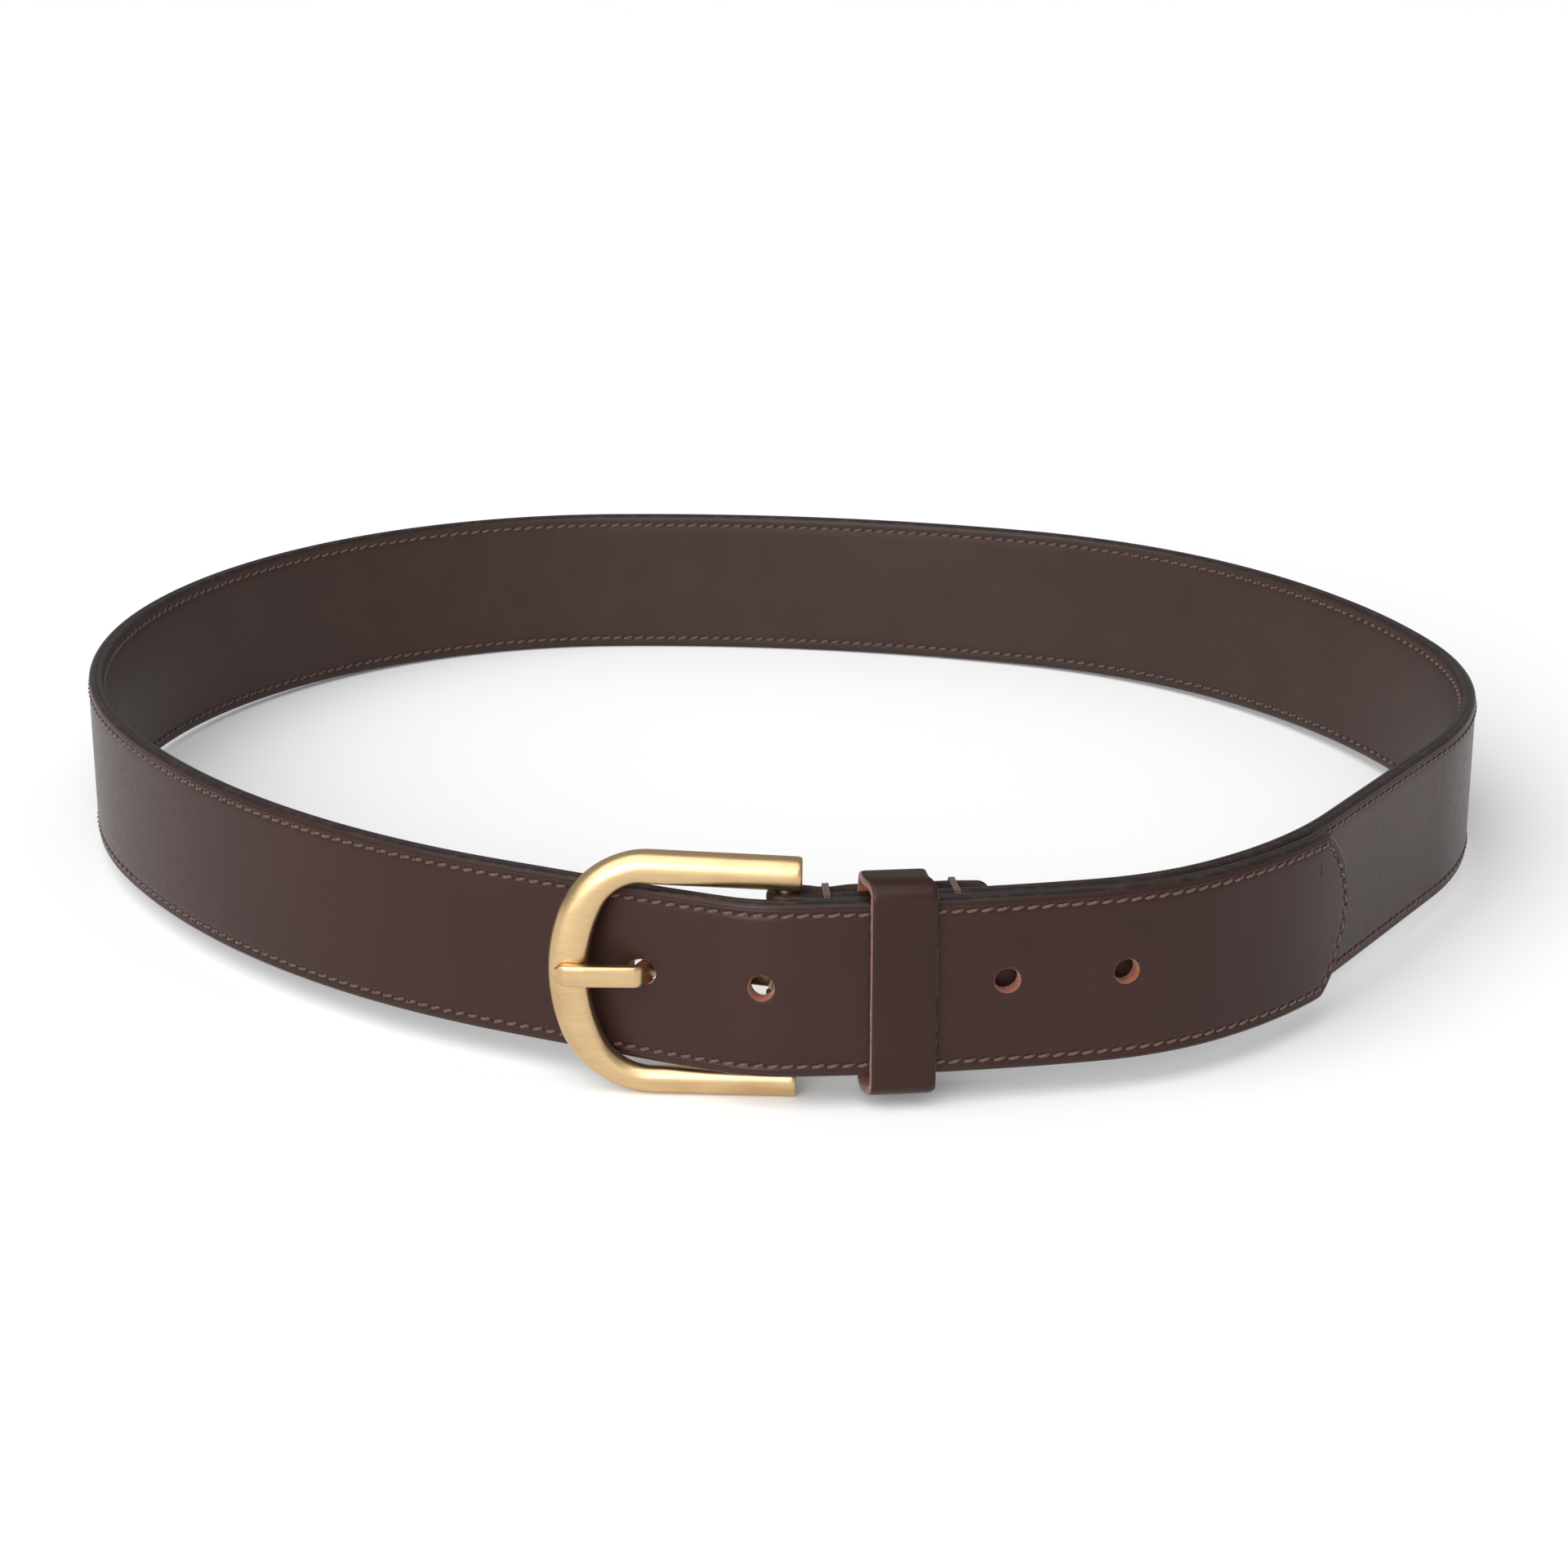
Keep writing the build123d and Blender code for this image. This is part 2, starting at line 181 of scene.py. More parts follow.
def liningLeather():
    # thinner drum-dyed lining leather with a visible natural grain, a little duller than the face
    made, tree, shader, place = startMaterial("liningLeatherDrumDyed")
    patches = addNode(tree, "TexNoise", {
        "Scale": perMm(lining["patch"]), "Detail": 5.0,
    }, {"Vector": place})
    tone = addNode(tree, "Mix", {
        "data_type": "RGBA", 6: linear(lining["colour"]), 7: linear(lining["colourWarm"]),
    }, {0: patches.outputs["Fac"]})
    cells = addNode(tree, "TexVoronoi", {
        "feature": "DISTANCE_TO_EDGE", "Scale": perMm(lining["grain"]),
    }, {"Vector": place})
    creases = addNode(tree, "MapRange", {"From Max": 0.12}, {"Value": cells.outputs["Distance"]})
    bump = addNode(tree, "Bump", {
        "Strength": 0.22, "Distance": 0.06 * metre,
    }, {"Height": creases.outputs[0]})
    tree.links.new(tone.outputs[2], shader.inputs["Base Color"])
    tree.links.new(bump.outputs[0], shader.inputs["Normal"])
    shader.inputs["Roughness"].default_value = lining["roughness"]
    shader.inputs["IOR"].default_value = 1.5
    shader.inputs["Specular IOR Level"].default_value = 0.3
    return made


thread = {"colour": "#452a20", "colourPale": "#73503f", "ply": 1.71875, "fuzz": 0.55, "roughness": 0.55}


def waxedThread():
    # bonded polyester thread with a wax coat: reddish brown, the twist of its plies catches the light
    made, tree, shader, place = startMaterial("polyesterThreadWaxed")
    plies = addNode(tree, "TexWave", {
        "Scale": perMm(thread["ply"]), "Distortion": 2.0, "bands_direction": "DIAGONAL",
    }, {"Vector": place})
    fuzz = addNode(tree, "TexNoise", {"Scale": perMm(thread["fuzz"]), "Detail": 4.0}, {"Vector": place})
    part = addNode(tree, "Math", {"operation": "MULTIPLY"}, {
        0: plies.outputs["Fac"], 1: fuzz.outputs["Fac"],
    })
    tone = addNode(tree, "Mix", {
        "data_type": "RGBA", 6: linear(thread["colour"]), 7: linear(thread["colourPale"]),
    }, {0: part.outputs[0]})
    bump = addNode(tree, "Bump", {
        "Strength": 0.5, "Distance": 0.1 * metre,
    }, {"Height": plies.outputs["Fac"]})
    tree.links.new(tone.outputs[2], shader.inputs["Base Color"])
    tree.links.new(bump.outputs[0], shader.inputs["Normal"])
    shader.inputs["Roughness"].default_value = thread["roughness"]
    shader.inputs["Sheen Weight"].default_value = 0.2
    return made


# near-black colours painted as the shadow inside each needle slit
needleSlitShadeColours = {"colour": "#0f0807", "colourPale": "#20120f", "size": 0.4, "roughness": 0.9}


def paintedShadeInNeedleSlit():
    # painted shade: a near-black colour, faintly mottled by noise, standing for the shadow inside the
    # slit that the needle leaves
    made, tree, shader, place = startMaterial("needleSlitPaintedShade")
    fibres = addNode(tree, "TexNoise", {"Scale": perMm(needleSlitShadeColours["size"])}, {"Vector": place})
    tone = addNode(tree, "Mix", {
        "data_type": "RGBA", 6: linear(needleSlitShadeColours["colour"]), 7: linear(needleSlitShadeColours["colourPale"]),
    }, {0: fibres.outputs["Fac"]})
    tree.links.new(tone.outputs[2], shader.inputs["Base Color"])
    shader.inputs["Roughness"].default_value = needleSlitShadeColours["roughness"]
    return made


brass = {
    "colour": "#c3a273", "colourLight": "#d8bd94", "colourPatina": "#987245",
    "scratch": 0.5,  # mm between brush lines: really near 0.05, drawn coarser so that they show
    "scratchLength": 16.0, "cloud": 12.0, "roughness": 0.30,
}


def satinBrass():
    # cast brass, belt-brushed lengthwise and lacquered in antique gold: soft streaky highlights
    made, tree, shader, place = startMaterial("brassSatinBrushed")
    along = perMm(brass["scratchLength"])
    across = perMm(brass["scratch"])
    stretched = addNode(tree, "Mapping", {"Scale": (along, across, across)}, {"Vector": place})
    lines = addNode(tree, "TexNoise", {
        "Scale": 1.0, "Detail": 6.0, "Roughness": 0.65,
    }, {"Vector": stretched.outputs[0]})
    clouds = addNode(tree, "TexNoise", {"Scale": perMm(brass["cloud"]), "Detail": 3.0}, {"Vector": place})
    tone = addNode(tree, "Mix", {
        "data_type": "RGBA", 6: linear(brass["colour"]), 7: linear(brass["colourLight"]),
    }, {0: lines.outputs["Fac"]})
    veil = addNode(tree, "MapRange", {
        "From Min": 0.5, "From Max": 0.8, "To Max": 0.35,
    }, {"Value": clouds.outputs["Fac"]})
    aged = addNode(tree, "Mix", {
        "data_type": "RGBA", 7: linear(brass["colourPatina"]),
    }, {0: veil.outputs[0], 6: tone.outputs[2]})
    gloss = addNode(tree, "MapRange", {
        "To Min": brass["roughness"] - 0.06, "To Max": brass["roughness"] + 0.10,
    }, {"Value": lines.outputs["Fac"]})
    bump = addNode(tree, "Bump", {
        "Strength": 0.06, "Distance": 0.05 * metre,
    }, {"Height": lines.outputs["Fac"]})
    tree.links.new(aged.outputs[2], shader.inputs["Base Color"])
    tree.links.new(gloss.outputs[0], shader.inputs["Roughness"])
    tree.links.new(bump.outputs[0], shader.inputs["Normal"])
    shader.inputs["Metallic"].default_value = 1.0
    return made


wire = {
    "colour": "#6f665c", "colourPale": "#a89f93",
    "line": 0.25, "lineLength": 6.667, "roughness": 0.35,
}


def stapleSteel():
    # drawn steel wire with a thin brown coating, streaked paler along the draw
    made, tree, shader, place = startMaterial("steelWireCoated")
    across = perMm(wire["line"])
    drawn = addNode(tree, "Mapping", {
        "Scale": (across, across, perMm(wire["lineLength"])),
    }, {"Vector": place})
    lines = addNode(tree, "TexNoise", {"Scale": 1.0, "Detail": 4.0}, {"Vector": drawn.outputs[0]})
    tone = addNode(tree, "Mix", {
        "data_type": "RGBA", 6: linear(wire["colour"]), 7: linear(wire["colourPale"]),
    }, {0: lines.outputs["Fac"]})
    tree.links.new(tone.outputs[2], shader.inputs["Base Color"])
    shader.inputs["Metallic"].default_value = 1.0
    shader.inputs["Roughness"].default_value = wire["roughness"]
    return made


def paleFloor():
    # matt paper sweep: almost white, faintly mottled
    made, tree, shader, place = startMaterial("studioSweepPaper")
    mottle = addNode(tree, "TexNoise", {"Scale": 8.0, "Detail": 3.0}, {"Vector": place})
    tone = addNode(tree, "Mix", {
        "data_type": "RGBA", 6: linear("#f6f6f6"), 7: linear("#fbfbfb"),
    }, {0: mottle.outputs["Fac"]})
    tree.links.new(tone.outputs[2], shader.inputs["Base Color"])
    shader.inputs["Roughness"].default_value = 0.9
    shader.inputs["Specular IOR Level"].default_value = 0.1
    return made


grainSide = bridleLeather("bridleLeatherWaxed", bridle["colour"], bridle["colourWarm"])
keeperGrain = bridleLeather("bridleLeatherKeeper", bridle["keeperColour"], bridle["keeperWarm"])
edgeSide = paintedEdge()
bareLeather = rawLeather("leatherPunchedBare", *rawCut["punched"])
cutLeather = rawLeather("leatherKnifeCutBare", *rawCut["knifeCut"])
fleshSide = rawLeather("leatherFleshSideDyed", *rawCut["fleshSide"])
liningSide = liningLeather()
sewingThread = waxedThread()
needleSlitShadeMaterial = paintedShadeInNeedleSlit()
satinGold = satinBrass()
wireSteel = stapleSteel()
print("materials made")

strap = {
    "width": 38.0, "outerPly": 1.8, "thickness": 3.5, "layerGap": 0.4,
    "startHeading": 2.0, "foldRadius": 4.1,
    # the outer face in plan as tangent runs: (radius, left turn in degrees), or (length, 0) if straight
    "frontRuns": [(365, 10), (72, 22), (106, 22.5)],
    "sideAndBackRuns": [
        (55.7, 0), (92, 50), (165, 26), (136, 29), (333, 20), (124, 117), (204, 37), (15, 0),
    ],
    "billetBendRuns": [(13.34, 0), (360, 3.5), (34, 23)],
    "liningStart": 6.0, "flapLength": 42.0, "flapCorner": 2.5,
    # how deep the flap's flesh side lies: (place along the front, depth)
    "flapDepths": [(0, 6.4), (4, 5.8), (8, 4.6), (13.6, 5.8), (33.8, 5.8), (38, 5.3), (42, 4.9)],
    "tipLength": 11.0, "tipBow": 27.36, "tipBowCentre": (-16.19, -3.055), "tipShoulder": 4.0,
}
barCentre = [1000 * c for c in frame["joints"][0]["pos_m"]]
midHeight = barCentre[2]
halfWidth = strap["width"] / 2
foldLength = math.pi * strap["foldRadius"]


def layRuns():
    # where each run starts: (place along the strap, x, y, heading, size, turn)
    pitch = strap["thickness"] + strap["layerGap"]
    runs = strap["frontRuns"] + strap["sideAndBackRuns"] + strap["billetBendRuns"]
    runs = runs + [(radius + pitch, turn) for radius, turn in strap["frontRuns"]]
    heading = math.radians(strap["startHeading"])
    x = barCentre[0] + math.sin(heading) * strap["foldRadius"]
    y = barCentre[1] - math.cos(heading) * strap["foldRadius"]
    place = 0.0
    laid = []
    for size, turn in runs:
        laid.append((place, x, y, heading, size, turn))
        if turn == 0:
            x += size * math.cos(heading)
            y += size * math.sin(heading)
            place += size
        else:
            swing = math.radians(turn)
            x += size * (math.sin(heading + swing) - math.sin(heading))
            y += size * (math.cos(heading) - math.cos(heading + swing))
            place += size * swing
            heading += swing
    return laid, place


laidRuns, strapEnd = layRuns()
tipPlace = strapEnd - strap["tipLength"]
ringLength = laidRuns[len(strap["frontRuns"] + strap["sideAndBackRuns"])][0]


def onRuns(place):
    # the outer face in plan and the heading there
    found = laidRuns[0]
    for run in laidRuns:
        if run[0] <= place:
            found = run
    first, x, y, heading, size, turn = found
    onward = place - first
    if turn == 0:
        return x + onward * math.cos(heading), y + onward * math.sin(heading), heading
    swing = onward / size
    x += size * (math.sin(heading + swing) - math.sin(heading))
    y += size * (math.cos(heading) - math.cos(heading + swing))
    return x, y, heading + swing


def flapDepth(place):
    # a smooth line through the flap's depths
    knots = strap["flapDepths"]
    place = min(max(place, knots[0][0]), knots[-1][0])
    last = len(knots) - 1
    k = max(i for i in range(last) if knots[i][0] <= place)
    slopes = []
    for i in (k, k + 1):
        a, b = knots[max(i - 1, 0)], knots[min(i + 1, last)]
        slopes.append((b[1] - a[1]) / (b[0] - a[0]))
    span = knots[k + 1][0] - knots[k][0]
    t = (place - knots[k][0]) / span
    return ((2 * t ** 3 - 3 * t ** 2 + 1) * knots[k][1] + (t ** 3 - 2 * t ** 2 + t) * span * slopes[0]
            + (3 * t ** 2 - 2 * t ** 3) * knots[k + 1][1] + (t ** 3 - t ** 2) * span * slopes[1])


def strapPoint(place, height, depth):
    # any point of the strap: along it, above its middle, and below its grain side.
    # Negative places go round the heel bar and on along the flap.
    if place >= 0:
        x, y, heading = onRuns(place)
        return Vector((x - depth * math.sin(heading), y + depth * math.cos(heading), midHeight + height))
    if place > -foldLength:
        angle = math.radians(strap["startHeading"]) - math.pi / 2 + place / strap["foldRadius"]
        reach = strap["foldRadius"] - depth
        x, y = barCentre[0] + reach * math.cos(angle), barCentre[1] + reach * math.sin(angle)
        return Vector((x, y, midHeight + height))
    back = -foldLength - place
    x, y, heading = onRuns(back)
    deep = flapDepth(back) + strap["outerPly"] - depth
    return Vector((x - deep * math.sin(heading), y + deep * math.cos(heading), midHeight + height))


# Columns run from the middle of one end, along the top edge, to the nose of the tip.
# Each gives a flat point (place, height) for any inset from the edge. The bottom half mirrors them.

def plyColumns(firstPlace, corner):
    columns = [("end", firstPlace, corner, k / 6) for k in range(6)]
    columns += [("corner", firstPlace, corner, math.pi - math.pi / 2 * k / 6) for k in range(7)]
    place = firstPlace + 7.0
    while place < tipPlace - 3.0:
        columns.append(("run", place, 0, 0))
        place += 0.4 if -foldLength - 1 < place < 1 else 1.5
    columns += [("shoulder", tipPlace, 0, k / 6) for k in range(7)]
    columns += [("bow", tipPlace, 0, k / 18) for k in range(1, 19)]
    return columns


def flatPoint(column, inset):
    kind, place, corner, share = column
    if kind == "run":
        return place, halfWidth - inset
    deepest = corner if kind in ("end", "corner") else 9.0
    if inset > deepest:
        # rows further in follow the deepest curved row, squeezed towards the middle
        along, height = flatPoint(column, deepest)
        return along, height * (halfWidth - inset) / (halfWidth - deepest)
    if kind == "end":
        return place + inset, share * (halfWidth - corner)
    if kind == "corner":
        radius = corner - inset
        return place + corner + radius * math.cos(share), halfWidth - corner + radius * math.sin(share)
    a, b = strap["tipBowCentre"]
    radius = max(strap["tipShoulder"] - inset, 0.0)
    bow = strap["tipBow"] - inset
    height = halfWidth - inset - radius
    across = math.sqrt((bow - radius) ** 2 - (height - b) ** 2)
    bend = math.atan2(height - b, across)
    if kind == "shoulder":
        angle = math.pi / 2 + share * (bend - math.pi / 2)
        return place + a + across + radius * math.cos(angle), height + radius * math.sin(angle)
    nose = math.asin(-b / bow)
    angle = bend + share * (nose - bend)
    return place + a + bow * math.cos(angle), b + bow * math.sin(angle)


def finishMesh(name, grid, bands, materials, sharp=35.0):
    # grid is stations of rows of points in mm, closed across; bands gives each row's material
    book = bmesh.new()
    rows = len(grid[0])
    made = [[book.verts.new(point * metre) for point in station] for station in grid]
    for i in range(len(made) - 1):
        for j in range(rows):
            k = (j + 1) % rows
            face = book.faces.new((made[i][j], made[i + 1][j], made[i + 1][k], made[i][k]))
            face.material_index = bands[j]
    bmesh.ops.remove_doubles(book, verts=book.verts, dist=2e-6)
    openEdges = [edge for edge in book.edges if edge.is_boundary]
    if openEdges:
        bmesh.ops.holes_fill(book, edges=openEdges, sides=0)
    bmesh.ops.recalc_face_normals(book, faces=book.faces)
    return bookToPiece(book, name, materials, sharp)


def bookToPiece(book, name, materials, sharp=35.0):
    for face in book.faces:
        face.smooth = True
    mesh = bpy.data.meshes.new(name)
    book.to_mesh(mesh)
    book.free()
    for material in materials:
        mesh.materials.append(material)
    mesh.set_sharp_from_angle(angle=math.radians(sharp))
    piece = bpy.data.objects.new(name, mesh)
    bpy.context.scene.collection.objects.link(piece)
    return piece


# half sections from the middle of the grain side, over the edge, to the middle of the flesh side:
# (inset from the edge, depth below the ply's grain, material band from here to the next row)
faceSection = [
    (15.8, 0.0, 0), (13.0, 0.0, 0), (9.0, 0.0, 0), (5.0, 0.0, 0), (3.7, 0.0, 0), (3.3, 0.05, 0),
    (2.95, 0.17, 0), (2.6, 0.22, 0), (2.25, 0.17, 0), (1.95, 0.05, 0),  # the thread's groove
    (1.7, 0.0, 0), (1.42, 0.01, 0), (1.28, 0.11, 0), (1.14, 0.01, 0),  # the creased line
    (0.85, 0.05, 0), (0.55, 0.18, 1), (0.3, 0.4, 1), (0.1, 0.75, 1), (0.0, 1.2, 1), (0.02, 1.62, 1),
    (0.16, 1.8, 2), (9.0, 1.8, 2), (13.0, 1.8, 2), (15.8, 1.8, 2),
]
liningSection = [
    (15.8, 0.0, 0), (13.0, 0.0, 0), (9.0, 0.0, 0), (5.0, 0.0, 0), (3.5, 0.0, 0),
    (3.0, 0.1, 0), (2.6, 0.15, 0), (2.2, 0.1, 0),
    (1.7, 0.0, 0), (1.0, 0.02, 0), (0.6, 0.15, 1), (0.3, 0.38, 1), (0.1, 0.7, 1), (0.0, 1.1, 1),
    (0.02, 1.52, 1), (0.16, 1.7, 2), (9.0, 1.7, 2), (13.0, 1.7, 2), (15.8, 1.7, 2),
]


def plyGrid(columns, section, depthOf):
    grid = []
    for column in columns:
        top = []
        bottom = []
        for inset, depth, _ in section:
            place, height = flatPoint(column, inset)
            top.append(strapPoint(place, height, depthOf(depth)))
            bottom.append(strapPoint(place, -height, depthOf(depth)))
        grid.append(top + bottom[::-1])
    return grid


def plyBands(section):
    bands = [row[2] for row in section]
    return bands + bands[-2::-1] + [0]


holes = {
    "radius": 2.6, "pitch": 25.0, "count": 5, "usedPlace": 18.2, "freePlace": 43.6,
    "usedStretch": 1.0,  # the hole with the tongue in it is drawn out this far
    "rise": 0.75, "rim": 0.32,  # the row lies above the strap's middle; the rim rolls in
    "sides": 48, "reach": 4.9,  # the patch around each hole runs this far along the strap
    "slotLength": 11.0,
}


def zipLoops(book, outer, inner, material):
    # triangles between two loops of (angle, corner), each in order of its angle
    outer = outer + [(outer[0][0] + 2 * math.pi, outer[0][1])]
    inner = inner + [(inner[0][0] + 2 * math.pi, inner[0][1])]
    i = j = 0
    while i < len(outer) - 1 or j < len(inner) - 1:
        stepOut = j == len(inner) - 1 or (i < len(outer) - 1 and outer[i + 1][0] <= inner[j + 1][0])
        third = outer[i + 1][1] if stepOut else inner[j + 1][1]
        book.faces.new((outer[i][1], third, inner[j][1])).material_index = material
        i += stepOut
        j += not stepOut


def ringAround(book, place, radius, depth, stretch):
    ring = []
    for side in range(holes["sides"]):
        angle = 2 * math.pi * (side + 0.5) / holes["sides"]
        along = radius * math.cos(angle) + (min(0.0, math.cos(angle)) * stretch)
        point = strapPoint(place + along, holes["rise"] + radius * math.sin(angle), depth)
        ring.append((angle, book.verts.new(point * metre)))
    return ring


def punchHole(book, place, stretch, sides, depthOf, ply):
    # sides holds the loops of corners around the patch, on the grain side and on the flesh side
    rim = holes["rim"]
    profile = [
        (1.7, 0.0), (0.9 * rim + 0.25, 0.0), (rim, 0.03), (0.6 * rim, 0.09), (0.25 * rim, 0.2),
        (0.0, 0.42), (-0.05, 0.9), (0.0, ply), (1.7, ply),
    ]
    rings = []
    for out, depth in profile:
        rings.append(ringAround(book, place, holes["radius"] + out, depthOf(depth), stretch))
    for level, (near, far) in enumerate(zip(rings, rings[1:])):
        for k in range(holes["sides"]):
            n = (k + 1) % holes["sides"]
            face = book.faces.new((near[k][1], near[n][1], far[n][1], far[k][1]))
            face.material_index = 0 if level < 3 else 3
    zipLoops(book, sides[0], rings[0], 0)
    zipLoops(book, sides[1], rings[-1], 2)


def patchLoop(made, places, first, last, rows, place):
    # the corners around a hole's patch, from its two outer rows and its two inner rows
    topOut, topIn, bottomIn, bottomOut = rows
    loop = []
    for i in range(first, last + 1):
        loop.append((places[i], 6.0, made[i][topOut]))
        loop.append((places[i], -6.0, made[i][bottomOut]))
    for i in (first, last):
        loop.append((places[i], 3.2, made[i][topIn]))
        loop.append((places[i], -3.2, made[i][bottomIn]))
    angled = []
    for along, height, corner in loop:
        angle = math.atan2(height - holes["rise"], along - place) % (2 * math.pi)
        angled.append((angle, corner))
    return sorted(angled, key=lambda pair: pair[0])


def makePly(name, columns, section, depthOf, materials, slotted):
    # the whole ply as one skin: rows round its section at every column, with the holes built in
    book = bmesh.new()
    grid = plyGrid(columns, section, depthOf)
    made = [[book.verts.new(point * metre) for point in station] for station in grid]
    places = [flatPoint(column, section[0][0])[0] for column in columns]
    bands = plyBands(section)
    n = len(section)
    leftOut = set()
    for number in range(holes["count"]):
        place = ringLength + holes["freePlace"] + (number - 1) * holes["pitch"]
        stretch = 0.0
        if number == 0:
            place = ringLength + holes["usedPlace"]
            stretch = holes["usedStretch"]
        first = max(i for i, along in enumerate(places) if along <= place - holes["reach"] - stretch)
        last = min(i for i, along in enumerate(places) if along >= place + holes["reach"])
        rows = (2 * n - 1, 0, 2 * n - 2, n - 1, n - 2, n)
        leftOut |= {(i, j) for i in range(first, last) for j in rows}
        grainLoop = patchLoop(made, places, first, last, (1, 0, 2 * n - 1, 2 * n - 2), place)
        fleshLoop = patchLoop(made, places, first, last, (n - 2, n - 1, n, n + 1), place)
        punchHole(book, place, stretch, (grainLoop, fleshLoop), depthOf, section[-1][1])
    if slotted:
        # the slot in the fold that lets the tongue through
        reach = holes["slotLength"] / 2
        first = min(i for i, along in enumerate(places) if along >= -foldLength - reach)
        last = max(i for i, along in enumerate(places) if along <= reach)
        for i in range(first, last):
            leftOut |= {(i, 2 * n - 1), (i, n - 1)}
            for near, far in ((0, n - 1), (2 * n - 1, n)):
                face = book.faces.new((made[i][near], made[i + 1][near], made[i + 1][far], made[i][far]))
                face.material_index = 2
        for i in (first, last):
            face = book.faces.new((made[i][0], made[i][n - 1], made[i][n], made[i][2 * n - 1]))
            face.material_index = 2
    for i in range(len(made) - 1):
        for j in range(2 * n):
            if (i, j) not in leftOut:
                k = (j + 1) % (2 * n)
                face = book.faces.new((made[i][j], made[i + 1][j], made[i + 1][k], made[i][k]))
                face.material_index = bands[j]
    bmesh.ops.delete(book, geom=[v for v in book.verts if not v.link_faces], context="VERTS")
    bmesh.ops.remove_doubles(book, verts=book.verts, dist=2e-6)
    bmesh.ops.recalc_face_normals(book, faces=book.faces)
    return bookToPiece(book, name, materials)


sewing = {
    "inset": 2.6, "pitch": 3.1, "length": 2.7, "threadRadius": 0.34, "proud": 0.3,
    "slant": 13.0, "dive": 0.45, "slitLength": 1.5, "slitWidth": 0.36, "slitLean": 62.0,
}


def stitchSpots():
    # (place, height, direction in the flat) of every stitch, from the nose back along both edges
    columns = plyColumns(strap["liningStart"], 0.6)
    line = [flatPoint(column, sewing["inset"]) for column in columns if column[0] != "end"][6:]
    line.reverse()
    spots = []
    ahead = sewing["pitch"] / 2
    for (p0, h0), (p1, h1) in zip(line, line[1:]):
        span = math.hypot(p1 - p0, h1 - h0)
        while span > 0 and ahead <= span:
            t = ahead / span
            direction = math.atan2(h0 - h1, p0 - p1)
            spots.append((p0 + t * (p1 - p0), h0 + t * (h1 - h0), direction))
            ahead += sewing["pitch"]
        ahead -= span
    return spots


def addTube(book, points, radii, sides, material):
    # a closed tube through points in mm
    rings = []
    for i, point in enumerate(points):
        way = (points[min(i + 1, len(points) - 1)] - points[max(i - 1, 0)]).normalized()
        across = way.orthogonal().cross(way).normalized()
        up = way.cross(across).normalized()
        ring = []
        for k in range(sides):
            angle = 2 * math.pi * k / sides
            offset = across * math.cos(angle) * radii[i] + up * math.sin(angle) * radii[i]
            ring.append(book.verts.new((point + offset) * metre))
        rings.append(ring)
    for i in range(len(rings) - 1):
        for k in range(sides):
            n = (k + 1) % sides
            face = book.faces.new((rings[i][k], rings[i][n], rings[i + 1][n], rings[i + 1][k]))
            face.material_index = material
    book.faces.new(rings[0][::-1]).material_index = material
    book.faces.new(rings[-1]).material_index = material


def sew(name, outside):
    # every stitch is its own short bowed length of thread with both ends sunk into the leather
    threads = bmesh.new()
    slitShadeBook = bmesh.new()
    face = -1.0 if outside else 1.0
    base = 0.2 if outside else strap["thickness"] - 0.14
    shares = [-1.0, -0.82, -0.4, 0.0, 0.4, 0.82, 1.0]
    for upper in (1, -1):
        for place, height, direction in stitchSpots():
            tilt = sewing["slant"] * (1 if outside else -1) + dice.uniform(-3, 3)
            lean = direction * upper + math.radians(tilt)
            half = sewing["length"] / 2 * dice.uniform(0.96, 1.04)
            points = []
            for share in shares:
                lift = sewing["proud"] * (1 - share ** 2) - sewing["dive"] * share ** 8
                points.append(strapPoint(
                    place + share * half * math.cos(lean), upper * height + share * half * math.sin(lean),
                    base + face * (lift - 0.12)))
            radii = [sewing["threadRadius"] * r for r in (0.55, 0.85, 1.0, 1.0, 1.0, 0.85, 0.55)]
            addTube(threads, points, radii, 7, 0)
            # a small dark lens at the slit beyond each stitch: painted shade in the needle hole
            slitPlace = place + sewing["pitch"] / 2 * math.cos(direction)
            slitHeight = upper * (height + sewing["pitch"] / 2 * math.sin(direction))
            slant = direction * upper + math.radians(180 - sewing["slitLean"])
            slit = []
            for share in (-1.0, -0.6, 0.0, 0.6, 1.0):
                reach = share * sewing["slitLength"] / 2
                slit.append(strapPoint(
                    slitPlace + reach * math.cos(slant), slitHeight + reach * math.sin(slant),
                    base - face * 0.02))
            widths = [sewing["slitWidth"] / 2 * w for w in (0.15, 0.8, 1.0, 0.8, 0.15)]
            addTube(slitShadeBook, slit, widths, 6, 0)
    return bookToPiece(threads, name, [sewingThread]), bookToPiece(slitShadeBook, name + "Slits", [needleSlitShadeMaterial])


def joinPieces(piece, other):
    # takes the other piece's mesh into the first, keeping its materials
    bpy.ops.object.select_all(action="DESELECT")
    other.select_set(True)
    piece.select_set(True)
    bpy.context.view_layer.objects.active = piece
    bpy.ops.object.join()


outerColumns = plyColumns(-foldLength - strap["flapLength"], strap["flapCorner"])
outerPly = makePly(
    "strap_face_leather", outerColumns, faceSection, lambda depth: depth,
    [grainSide, edgeSide, fleshSide, bareLeather], True)
innerColumns = plyColumns(strap["liningStart"], 0.6)
innerPly = makePly(
    "strap_lining_leather", innerColumns, liningSection, lambda depth: strap["thickness"] - depth,
    [liningSide, edgeSide, fleshSide, bareLeather], False)
print("strap plies cut and punched")

needleThread, needleSlitShades = sew("edge_stitching_needle_thread", True)
bobbinThread, bobbinSlitShades = sew("edge_stitching_bobbin_thread", False)
joinPieces(outerPly, needleSlitShades)
joinPieces(innerPly, bobbinSlitShades)
print("edges stitched")

